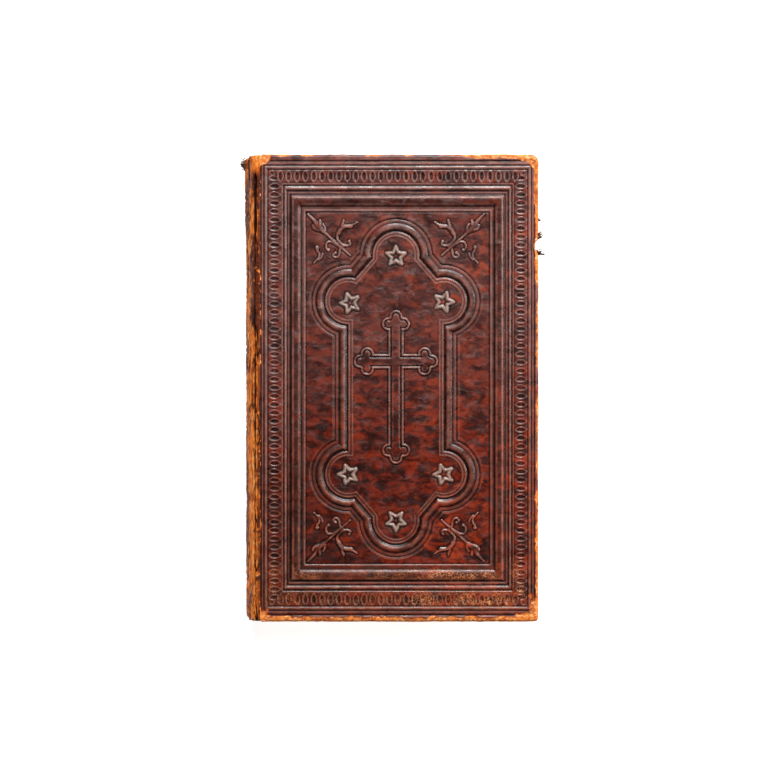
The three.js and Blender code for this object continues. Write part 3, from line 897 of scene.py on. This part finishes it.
def make_section(number):
    """One sewn gathering: sheets folded round each other, cut for the cords at the fold."""
    low, high = box_mm(f"section_{number:02d}")
    chance = np.random.default_rng(200 + number)
    y_rows = section_stations()[:, None]
    in_cut = np.min([np.abs(y_rows - place) for place in CORD_PLACES], axis=0) < CUT_HALF_WIDTH
    pitch = (high[2] - low[2]) / (2 * SHEETS_PER_SECTION)
    count = 2 * FLAT_POINTS + FOLD_POINTS
    at_fold = np.zeros(count, bool)
    at_fold[FLAT_POINTS : FLAT_POINTS + FOLD_POINTS] = True
    build = Builder()
    for sheet in range(SHEETS_PER_SECTION):
        half = (high[2] - low[2]) / 2 - sheet * pitch - 0.01
        ends = high[0] - 0.08 - np.abs(chance.normal(0, 0.12, 2))
        fold_x = low[0] + 0.05 + sheet * pitch
        faces = []
        for inset in (0, SHEET_THICKNESS):
            line_x, line_z = folded_line(fold_x, half, (low[2] + high[2]) / 2, ends, inset)
            cut_x = np.maximum(line_x, low[0] + CUT_DEPTH + sheet * pitch)
            x = np.where(in_cut & at_fold, cut_x, line_x)
            trim = np.repeat(chance.normal(0, 0.05, 2), [count // 2, count - count // 2])
            y = y_rows * (1 + 0.6 * trim / PAPER_HALF_HEIGHT)
            nibble = 0.05 * cloud(y_rows + x * 0, line_z * 7 + x * 0, 6, 300 + number, 3)
            nibble = nibble * smoothstep(high[0] - 1, high[0], x)
            faces.append(xyz(x + nibble, y, line_z))
        tone = page_marks(faces[0][..., 0], faces[0][..., 1], low, high)
        build.add_closed_sheet(*faces, tone=tone)
    node = f"section_{number:02d}"
    return fit(build.make(f"{node}_folded_sheets"), "text_block", node)


def make_leaf(node, body, seed, set_in):
    """One loose leaf: a thin sheet, a little cockled and with soft corners."""
    low, high = box_mm(node)
    x, y = np.meshgrid(np.linspace(low[0] + set_in, high[0], 44), np.linspace(low[1], high[1], 70))
    chance = np.random.default_rng(seed)
    trim = chance.uniform(0.05, 0.35)
    shift = chance.normal(0, 0.1)
    outer = (x - low[0]) / (high[0] - low[0])
    ragged = 0.06 * cloud(x, y, 5, seed + 1, 3)
    from_corner = np.hypot(np.maximum(x - high[0] + 3, 0), np.maximum(np.abs(y) - high[1] + 3, 0))
    rounding = np.clip(from_corner - 3, 0, None)
    x = x - outer**8 * (trim + ragged) - 0.6 * rounding * outer
    y = y + shift * outer - np.sign(y) * 0.6 * rounding
    middle = (low[2] + high[2]) / 2 + 0.055 * cloud(x, y, 40, seed + 2, 3) * smoothstep(0, 0.15, outer)
    faces = [xyz(x, y, middle + rise) for rise in (LEAF_HALF, -LEAF_HALF)]
    build = Builder()
    build.add_closed_sheet(*faces, tone=page_marks(x, y, low, high))
    return fit(build.make(f"{node}_sheet"), body, node)


# ---- Head and tail bands ----

BAND_WRAP = 0.46  # pitch of the silk wraps
BAND_INSET = 2.65  # from the spine's outer face in to a band's core


def make_band(end):
    """A core wrapped in two colours of silk, standing on the paper at one end of the spine."""
    low, high = box_mm(f"{end}_band")
    centre_y = (low[1] + high[1]) / 2
    radius = (high[1] - low[1]) / 2
    core_radius = SPINE_RADIUS - BAND_INSET
    half_angle = math.asin(((high[2] - low[2]) / 2 - 0.3) / core_radius)
    length = 2 * half_angle * core_radius
    wraps = int(length / BAND_WRAP)
    rings = wraps * 6 + 1
    along = np.linspace(0, wraps, rings)
    round_it = np.linspace(0, 2 * math.pi, 15)
    s, turn = np.meshgrid(along, round_it, indexing="ij")
    phase = s + turn / (2 * math.pi)
    thread = np.abs(np.sin(math.pi * phase))
    size = radius * (0.84 + 0.16 * np.sqrt(thread))
    closing = np.minimum(smoothstep(-0.05, 0.8, s), smoothstep(wraps + 0.05, wraps - 0.8, s))
    size = size * (0.15 + 0.85 * closing)
    angle = (s / wraps * 2 - 1) * half_angle
    distance = core_radius + size * np.cos(turn)
    points = on_spine(distance, angle, centre_y + size * np.sin(turn))
    stripe = (np.floor(phase / 3) % 2).astype(float)
    build = Builder()
    numbers = build.add_points(points[:, :-1], stripe=stripe[:, :-1])
    build.add_grid(np.hstack([numbers, numbers[:, :1]]), flip=True)
    return fit(build.make(f"{end}_band_wrapped_silk"), "text_block", f"{end}_band")


# ---- Frayed fibres ----

FIBRE_SIDES = 4
FIBRE_STEPS = 5
TUFT_HALF_RISE = 8  # the tuft keeps this near the middle of the spine


def add_fibre(build, root, direction, curl, length, thickness):
    """One tapering fibre that bends away from where it starts."""
    direction = direction / np.linalg.norm(direction)
    across = np.cross(direction, (0.3, 0.2, 0.93))
    across = across / np.linalg.norm(across)
    other = np.cross(direction, across)
    t = np.linspace(0, 1, FIBRE_STEPS)
    spine = root + direction * length * t[:, None] + curl * length * t[:, None] ** 2
    turns = np.arange(FIBRE_SIDES) * 2 * math.pi / FIBRE_SIDES
    ring = across * np.cos(turns)[:, None] + other * np.sin(turns)[:, None]
    width = thickness * (1 - 0.85 * t)
    points = spine[:, None] + ring[None] * width[:, None, None]
    numbers = build.add_points(points, shade=root[1] * 0.37 % 1)
    build.add_grid(np.hstack([numbers, numbers[:, :1]]))


def make_cover_fibres():
    """Broken threads of leather at the nick and along the fore-edge and tail."""
    chance = np.random.default_rng(5)
    build = Builder()
    groups = (  # x, y, count, spread and length
        (FORE_EDGE - 0.9, NICK_MIDDLE - 2.6, 26, 0.9, 1.0),
        (FORE_EDGE - 0.9, NICK_MIDDLE + 2.4, 22, 0.8, 0.9),
        (FORE_EDGE - 1.0, -HALF_HEIGHT + 2.6, 26, 1.4, 0.7),
        (FORE_EDGE - 14, -HALF_HEIGHT + 0.5, 12, 1.6, 0.6),
        (FORE_EDGE - 0.4, -44, 10, 3, 0.5),
    )
    for x, y, count, spread, length in groups:
        for _ in range(count):
            root_x = min(x + chance.normal(0, 0.2), FORE_EDGE - 0.2)
            root_y = max(y + chance.normal(0, spread), -HALF_HEIGHT + 0.2)
            root_z = chance.uniform(BOOK_TOP - 2.8, BOOK_TOP - 1.3)
            root = np.array((root_x, root_y, root_z))
            direction = np.array((chance.uniform(0.3, 1), chance.normal(0, 0.8), chance.normal(0, 0.2)))
            curl = chance.normal(0, 0.35, 3)
            add_fibre(build, root, direction, curl, length * chance.uniform(0.4, 1.3), 0.07)
    return fit(build.make("front_cover_frayed_fibres"), "front_cover")


def make_torn_curls():
    """Shreds of skin that curl out from the nick's two ends."""
    chance = np.random.default_rng(15)
    build = Builder()
    for y, count in ((NICK_MIDDLE + 3.2, 16), (NICK_MIDDLE - 2.6, 11), (NICK_MIDDLE + 9.5, 5)):
        for _ in range(count):
            root_y = y + chance.normal(0, 0.45)
            root_z = chance.uniform(BOOK_TOP - 2.6, BOOK_TOP - 1.2)
            root = np.array((FORE_EDGE - 1.0, root_y, root_z))
            direction = np.array((1.0, chance.normal(0.1, 0.35), chance.normal(0.1, 0.2)))
            curl = np.array((0, chance.normal(0.15, 0.3), chance.normal(0, 0.2)))
            add_fibre(build, root, direction, curl, chance.uniform(1.8, 4.0), 0.28)
    return fit(build.make("front_cover_torn_curls"), "front_cover")


def make_headcap_tuft():
    """A dark tuft of broken leather that stands out from the spine at the head."""
    chance = np.random.default_rng(16)
    build = Builder()
    for _ in range(70):
        rise = min(max(chance.normal(2, 4), -TUFT_HALF_RISE), TUFT_HALF_RISE)
        across = math.asin(rise / SPINE_SKIN_RADIUS)
        x = ARC_X - (SPINE_SKIN_RADIUS + 0.5) * math.cos(across)
        root = np.array((x, TUFT_Y + 0.2 + chance.normal(0, 0.75), MIDDLE_Z + rise))
        direction = np.array((-1.0, chance.normal(0.1, 0.5), chance.normal(0, 0.4)))
        curl = np.array((0, chance.normal(0, 0.3), chance.normal(0, 0.3)))
        add_fibre(build, root, direction, curl, chance.uniform(1.1, 2.4), 0.25)
    return fit(build.make("spine_headcap_tuft"), "text_block")


def make_spine_fibres():
    """Fibres standing out of the rubbed spine, thickest at the head."""
    chance = np.random.default_rng(6)
    build = Builder()
    limit = HALF_HEIGHT - 0.7
    for i in range(420):
        at_head = i < 110
        y = chance.normal(82.2, 1.2) if at_head else chance.uniform(1 - HALF_HEIGHT, HALF_HEIGHT - 1)
        angle = chance.uniform(-0.28, 0.28)
        root = on_spine(SPINE_SKIN_RADIUS - 0.05, angle, min(max(y, -limit), limit))
        outward = np.array((-math.cos(angle), 0, math.sin(angle)))
        direction = outward * chance.uniform(0.15, 0.7) + np.array((0, chance.normal(0, 1), 0))
        length = chance.uniform(0.5, 1.3) * (1.2 if at_head else 0.9)
        add_fibre(build, root, direction, outward * chance.normal(0, 0.15), length, 0.08)
    return fit(build.make("spine_frayed_fibres"), "text_block")


# ---- Materials ----


class Shader:
    """A short way to write a material's nodes. Scales are features per millimetre."""

    def __init__(self, name):
        self.material = bpy.data.materials.new(name)
        self.material.use_nodes = True
        self.nodes = self.material.node_tree.nodes
        self.surface = self.nodes["Principled BSDF"]
        self.place = self.nodes.new("ShaderNodeTexCoord").outputs["Object"]

    def put(self, socket, value):
        """Gives a socket a link, a colour or a plain value."""
        if isinstance(value, bpy.types.NodeSocket):
            self.material.node_tree.links.new(value, socket)
        elif isinstance(value, tuple) and socket.type == "RGBA":
            socket.default_value = (*value, 1)
        else:
            socket.default_value = value

    def node(self, kind, output, inputs, **settings):
        """An output of a new node with these settings and inputs."""
        node = self.nodes.new("ShaderNode" + kind)
        for key, value in settings.items():
            setattr(node, key, value)
        for key, value in inputs.items():
            self.put(node.inputs[key], value)
        return node.outputs[output]

    def set(self, **values):
        """Sets sockets of the surface, with _ for a space in their names."""
        for key, value in values.items():
            self.put(self.surface.inputs[key.replace("_", " ")], value)

    def attributes(self, *names):
        return [self.node("Attribute", "Fac", {}, attribute_name=name) for name in names]

    def stretched(self, stretch):
        return self.node("Mapping", "Vector", {"Vector": self.place, "Scale": stretch})

    def noise(self, scale, detail=4.0, roughness=0.55, stretch=(1, 1, 1), distortion=0.0):
        inputs = {"Vector": self.stretched(stretch), "Scale": scale / MM, "Detail": detail}
        return self.node("TexNoise", "Fac", inputs | {"Roughness": roughness, "Distortion": distortion})

    def cells(self, scale, feature="DISTANCE_TO_EDGE"):
        inputs = {"Vector": self.stretched((1, 1, 1)), "Scale": scale / MM}
        return self.node("TexVoronoi", "Distance", inputs, feature=feature)

    def span(self, value, low, high, to_low=0.0, to_high=1.0):
        """A value between low and high, smoothly, as one between to_low and to_high."""
        inputs = {"Value": value, "From Min": low, "From Max": high, "To Min": to_low, "To Max": to_high}
        return self.node("MapRange", "Result", inputs, interpolation_type="SMOOTHSTEP")

    def times(self, a, b):
        return self.node("Math", 0, {0: a, 1: b}, operation="MULTIPLY")

    def plus(self, a, b):
        return self.node("Math", 0, {0: a, 1: b}, operation="ADD")

    def mix(self, share, a, b):
        """Colour a with this share of colour b over it."""
        return self.node("Mix", 2, {0: share, 6: a, 7: b}, data_type="RGBA")

    def bumped(self, *layers):
        """A normal bent by heights, each with its depth in millimetres."""
        before = {}
        for height, depth in layers:
            inputs = {"Distance": depth * MM, "Height": height} | before
            before = {"Normal": self.node("Bump", "Normal", inputs)}
        return before["Normal"]


def dyed_leather_colour(s):
    """Red-brown streaks under dark and greyish clouds: calm and grey at the head, rich at the tail, the grey
    being a painted reflection of the head lamp.
    """
    deep, fiery, stain, polish, shade = s.attributes("deep", "fiery", "stain", "polish", "shade")
    streaks = s.span(s.noise(0.13, 8, 0.62, stretch=(1, 2.0, 1), distortion=0.8), 0.4, 0.62)
    calm = s.mix(streaks, (0.046, 0.014, 0.012), (0.125, 0.03, 0.021))
    rich = s.mix(streaks, (0.018, 0.0035, 0.0025), (0.155, 0.0145, 0.0045))
    # Painted reflection: the grey veil towards the head.
    colour = s.mix(deep, calm, rich)
    flecks = s.noise(0.15, 5, 0.55, stretch=(1, 1.45, 1), distortion=0.7)
    grain = s.noise(0.7, 6, 0.65, stretch=(1, 1.6, 1))
    mottle = s.plus(flecks, s.span(grain, 0.2, 0.8, -0.07, 0.07))
    hot = s.times(s.span(mottle, 0.47, 0.69), fiery)
    colour = s.mix(hot, colour, s.mix(deep, (0.27, 0.04, 0.016), (0.29, 0.03, 0.006)))
    # Painted shade: the roll and the moulding's middle darkened to near-black red.
    shaded_body = s.times(stain, s.span(flecks, 0.64, 0.44, 0.35, 0.85))
    colour = s.mix(shaded_body, colour, (0.03, 0.0055, 0.004))
    dark = s.span(s.noise(0.17, 5, 0.58, stretch=(1, 1.3, 1), distortion=0.7), 0.48, 0.68)
    colour = s.mix(s.times(dark, 0.85), colour, (0.014, 0.004, 0.0035))
    # Grey streaks: partly scuffs, partly a painted sheen.
    sheen_and_scuff_streaks = s.span(s.noise(0.22, 7, 0.66, stretch=(1, 1.9, 1), distortion=0.5), 0.5, 0.72, 0.0, 0.6)
    colour = s.mix(sheen_and_scuff_streaks, colour, s.mix(deep, (0.175, 0.11, 0.102), (0.14, 0.05, 0.042)))
    # Painted reflection: a grey sheen on the flat bands.
    sheen_on_flats = s.times(polish, s.span(s.noise(0.12, 4, 0.55), 0.3, 0.6, 0.15, 0.6))
    colour = s.mix(sheen_on_flats, colour, s.mix(deep, (0.155, 0.062, 0.05), (0.115, 0.035, 0.024)))
    return s.mix(s.times(shade, 0.5), colour, (0.012, 0.003, 0.002)), deep


def cover_leather_material():
    """Dark polished leather, with painted highlights on its crests (partly rubbed leather), painted shade
    near-black in its grooves, and worn through to tan.
    """
    s = Shader("tooled_leather")
    worn, groove, crackle, crest, pale, dull = s.attributes(
        "worn", "groove", "crackle", "crest", "pale", "dull"
    )
    colour, deep = dyed_leather_colour(s)
    # Painted highlight on the crests, partly rubbed leather.
    crest_highlight_and_rub = s.times(crest, s.span(s.noise(0.3, 4, 0.6), 0.3, 0.66, 0.15, 0.75))
    colour = s.mix(crest_highlight_and_rub, colour, s.mix(deep, (0.31, 0.15, 0.12), (0.32, 0.105, 0.065)))
    # Painted shade: near-black in the grooves.
    colour = s.mix(s.times(groove, 0.95), colour, (0.005, 0.0015, 0.0013))
    crackle = s.times(crackle, s.span(s.noise(0.35, 5, 0.65), 0.4, 0.56, 0.15, 1.0))
    crazed = s.times(s.span(s.cells(1.05), 0.13, 0.03), crackle)
    patch = s.times(s.span(s.noise(0.8, 6, 0.75), 0.5, 0.6), crackle)
    colour = s.mix(s.times(patch, 0.8), colour, (0.4, 0.07, 0.01))
    colour = s.mix(crazed, colour, (0.62, 0.22, 0.075))
    rubbed = s.times(pale, s.span(s.noise(0.9, 5, 0.65), 0.3, 0.6, 0.15, 0.9))
    colour = s.mix(rubbed, colour, (0.31, 0.23, 0.19))
    tan = s.mix(s.span(s.noise(0.6, 6, 0.7), 0.35, 0.62), (0.3, 0.05, 0.005), (0.72, 0.21, 0.03))
    tan = s.mix(s.span(s.noise(0.9, 4, 0.6), 0.52, 0.68), tan, (0.85, 0.46, 0.2))
    ragged = s.plus(worn, s.times(s.noise(1.1, 5, 0.7), 0.8))
    colour = s.mix(s.span(ragged, 0.6, 0.82), colour, (0.26, 0.04, 0.008))
    through = s.span(ragged, 0.76, 1.08)
    gloss = s.span(s.noise(0.2, 6, 0.6, stretch=(1, 1.6, 1)), 0.38, 0.64, 0.25, 0.43)
    gloss = s.plus(s.plus(gloss, s.times(through, 0.35)), s.times(dull, 0.3))
    lumps, dimples, pores = s.noise(0.45, 4, 0.6), s.noise(1.6, 4, 0.65), s.cells(2.6, "F1")
    s.set(Base_Color=s.mix(through, colour, tan), Roughness=gloss, IOR=1.38)
    s.set(Normal=s.bumped((lumps, 0.07), (dimples, 0.03), (pores, 0.012), (crazed, -0.05)))
    return s.material


def spine_leather_material():
    """The same leather with its skin gone: tan fibres, dark cracks and scraps of brown skin."""
    s = Shader("worn_spine_leather")
    cracks, skin = s.attributes("cracks", "skin")
    strands = s.noise(1.3, 5, 0.65, stretch=(1, 0.22, 1))
    patches = s.noise(0.22, 6, 0.65, stretch=(1, 0.5, 1))
    tan = s.mix(s.span(strands, 0.35, 0.62), (0.42, 0.06, 0.005), (0.95, 0.27, 0.035))
    tan = s.mix(s.span(patches, 0.5, 0.68), tan, (0.34, 0.042, 0.005))
    flecks = s.span(s.noise(0.55, 6, 0.72, stretch=(1, 0.6, 1)), 0.5, 0.66)
    tan = s.mix(s.times(flecks, 0.8), tan, (0.95, 0.47, 0.16))
    brown = s.mix(s.span(s.noise(0.7, 4, 0.6), 0.35, 0.7), (0.05, 0.012, 0.006), (0.16, 0.03, 0.01))
    left = s.times(skin, s.span(s.noise(0.5, 6, 0.65), 0.3, 0.46))
    colour = s.mix(left, tan, brown)
    dirty = s.span(s.noise(0.8, 5, 0.7, stretch=(1, 0.3, 1)), 0.58, 0.74)
    colour = s.mix(s.times(dirty, 0.7), colour, (0.06, 0.014, 0.004))
    depths = s.mix(s.span(s.noise(0.5, 4, 0.6), 0.4, 0.65), (0.008, 0.003, 0.002), (0.05, 0.011, 0.005))
    colour = s.mix(cracks, colour, depths)
    s.set(Base_Color=colour, Roughness=s.span(left, 0, 1, 0.85, 0.6), IOR=1.15)
    s.set(Normal=s.bumped((strands, 0.16), (s.noise(2.5, 4, 0.7), 0.08)))
    return s.material


def fibre_material(name, dark, light):
    """Bare fibres, each with its own shade between dark and light."""
    s = Shader(name)
    colour = s.mix(*s.attributes("shade"), dark, light)
    s.set(Base_Color=colour, Roughness=0.85, IOR=1.3)
    return s.material


def paper_material(name, light, dark, toning):
    """Aged paper: darker towards its outer edges, foxed and faintly fibrous."""
    s = Shader(name)
    colour = s.mix(s.span(s.noise(0.03, 5, 0.6), 0.3, 0.7), light, dark)
    aged = s.times(*s.attributes("tone"), s.span(s.noise(0.08, 5, 0.6), 0.2, 0.8, 0.35, 1.0))
    colour = s.mix(aged, colour, toning)
    spots = s.times(s.span(s.noise(0.35, 3, 0.5), 0.66, 0.74), 0.5)
    colour = s.mix(spots, colour, (0.35, 0.17, 0.06))
    fibres = s.noise(2.2, 4, 0.7, stretch=(1, 0.3, 1))
    s.set(Base_Color=colour, Roughness=0.88, IOR=1.4)
    s.set(Normal=s.bumped((fibres, 0.02), (s.noise(0.2, 4, 0.5), 0.06)))
    return s.material


def millboard_material():
    """Coarse brown board with dark specks."""
    s = Shader("millboard")
    fibres = s.noise(1.2, 6, 0.7, stretch=(1, 1, 3))
    colour = s.mix(s.span(fibres, 0.3, 0.7), (0.2, 0.13, 0.07), (0.38, 0.27, 0.15))
    colour = s.mix(s.span(s.noise(4, 2), 0.62, 0.7), colour, (0.1, 0.06, 0.04))
    s.set(Base_Color=colour, Roughness=0.92, Normal=s.bumped((fibres, 0.12)))
    return s.material


def silk_material():
    """Dulled silk thread in two colours, wound across the band."""
    s = Shader("wrapped_silk")
    colour = s.mix(*s.attributes("stripe"), (0.34, 0.07, 0.03), (0.6, 0.46, 0.25))
    colour = s.mix(s.span(s.noise(1.2, 4), 0.45, 0.75, 0, 0.5), colour, (0.12, 0.06, 0.03))
    s.set(Base_Color=colour, Roughness=0.5, Sheen_Weight=0.3)
    s.set(Normal=s.bumped((s.noise(6, 3, 0.6, stretch=(0.3, 1, 1)), 0.03)))
    return s.material


def thread_material(name, dark, light, twist):
    """Twisted plant fibre, for the sewing cords, the kettle stitches and the woven lining."""
    s = Shader(name)
    strands = s.noise(twist, 4, 0.7, stretch=(1, 2.5, 1))
    colour = s.mix(s.span(strands, 0.3, 0.7), dark, light)
    s.set(Base_Color=colour, Roughness=0.9, Normal=s.bumped((strands, 0.1)))
    return s.material


def floor_material():
    """A plain floor that shows white round the book."""
    s = Shader("pale_floor")
    s.set(Base_Color=(0.9, 0.9, 0.9), Roughness=0.9)
    s.set(Emission_Color=(1.0, 1.0, 1.0), Emission_Strength=0.9)
    return s.material


def dress(item, material):
    """Gives an object one material."""
    item.data.materials.clear()
    item.data.materials.append(material)


# ---- Putting the book together ----


def make_bindings():
    """The boards, their leather and its loose fibres."""
    tooled, worn, board = cover_leather_material(), spine_leather_material(), millboard_material()
    for side in SIDES:
        dress(make_cover_leather(side), tooled)
        dress(make_joint_leather(side), worn)
        dress(make_board(side), board)
    dress(make_spine_leather(), worn)
    fibres = fibre_material("leather_fibres", (0.12, 0.03, 0.008), (0.75, 0.33, 0.09))
    dress(make_cover_fibres(), fibres)
    dress(make_spine_fibres(), fibres)
    shreds = fibre_material("dark_leather_shreds", (0.03, 0.01, 0.005), (0.16, 0.05, 0.015))
    dress(make_torn_curls(), shreds)
    dress(make_headcap_tuft(), shreds)


def make_paper():
    """The sections, the loose leaves, the flyleaves and the pastedowns."""
    page = paper_material("aged_page", (0.78, 0.65, 0.46), (0.68, 0.54, 0.35), (0.46, 0.3, 0.15))
    end = paper_material("aged_endpaper", (0.8, 0.68, 0.49), (0.66, 0.53, 0.34), (0.48, 0.32, 0.16))
    for number in range(1, 17):
        dress(make_section(number), page)
    for side, count in (("front", 8), ("back", 3)):
        for i in range(count):
            node = f"{side}_flyleaf" if i == 0 else f"{side}_leaf_{i}"
            set_in = GUTTER_SET_IN if side == "front" and i < 3 else 0.0
            seed = 400 + 10 * i + len(side)
            leaf = make_leaf(node, f"{side}_leaf_body_{i + 1}", seed, set_in)
            dress(leaf, end if i == 0 else page)
        dress(frame["nodes"][f"{side}_pastedown"], end)


def make_sewing():
    """The head and tail bands, the cords, the stitches and the lining."""
    silk = silk_material()
    for end in ("head", "tail"):
        dress(make_band(end), silk)
    hemp = thread_material("hemp_cord", (0.3, 0.2, 0.09), (0.55, 0.42, 0.22), 1.6)
    linen = thread_material("linen_thread", (0.42, 0.34, 0.2), (0.65, 0.56, 0.38), 2.2)
    for i in range(1, 5):
        dress(frame["nodes"][f"sewing_cord_{i}"], hemp)
    for name in ("kettle_stitch_head", "kettle_stitch_tail", "spine_lining"):
        dress(frame["nodes"][name], linen)


# ---- Floor, light and camera ----

FLOOR_Z = -0.03
FLOOR_REACH = 3000
CAMERA_HEIGHT = 1500.0
VIEW_WIDTH = 283.3  # seen across at the height of the front cover
VIEW_CENTRE = (-0.55, -0.73)
SENSOR = 36.0

# Name, place, width and height in millimetres, and power in watts.
LAMPS = (
    ("overhead", (200, 800, 1800), (700, 300), 3),
    ("head_key", (250, 1150, 1000), (900, 240), 41),
    ("fore_key", (1200, 250, 1000), (260, 700), 11),
)


def make_floor():
    """A wide floor under the book, for the picture only."""
    build = Builder()
    steps = np.linspace(-FLOOR_REACH, FLOOR_REACH, 5)
    x, y = np.meshgrid(steps, steps)
    build.add_grid(build.add_points(xyz(x, y, FLOOR_Z)))
    floor = build.make("floor")
    dress(floor, floor_material())


def add_softbox(name, place, size, power, target=(0, 0, 18)):
    """A rectangular soft light at a place in millimetres, turned to face a point."""
    lamp = bpy.data.lights.new(name, "AREA")
    lamp.shape = "RECTANGLE"
    lamp.size, lamp.size_y = size[0] * MM, size[1] * MM
    lamp.energy = power
    item = bpy.data.objects.new(name, lamp)
    item.location = Vector(place) * MM
    item.rotation_euler = (Vector(target) - Vector(place)).to_track_quat("-Z", "Y").to_euler()
    item.visible_camera = False
    bpy.context.scene.collection.objects.link(item)


def make_light():
    """Three soft lamps, strongest from the head, and a faint even light."""
    for lamp in LAMPS:
        add_softbox(*lamp)
    world = bpy.data.worlds.new("studio")
    world.use_nodes = True
    background = world.node_tree.nodes["Background"]
    background.inputs["Color"].default_value = (1, 1, 1, 1)
    background.inputs["Strength"].default_value = 0.03
    bpy.context.scene.world = world
    bpy.context.scene.view_settings.view_transform = "Standard"


def make_camera():
    """The camera, straight above the book."""
    data = bpy.data.cameras.new("camera")
    data.sensor_width = SENSOR
    data.lens = SENSOR * (CAMERA_HEIGHT - BOOK_TOP) / VIEW_WIDTH
    data.clip_start, data.clip_end = 0.01, 20
    camera = bpy.data.objects.new("camera", data)
    camera.location = Vector((*VIEW_CENTRE, CAMERA_HEIGHT)) * MM
    bpy.context.scene.collection.objects.link(camera)
    bpy.context.scene.camera = camera


make_bindings()
make_paper()
make_sewing()
make_floor()
make_light()
make_camera()
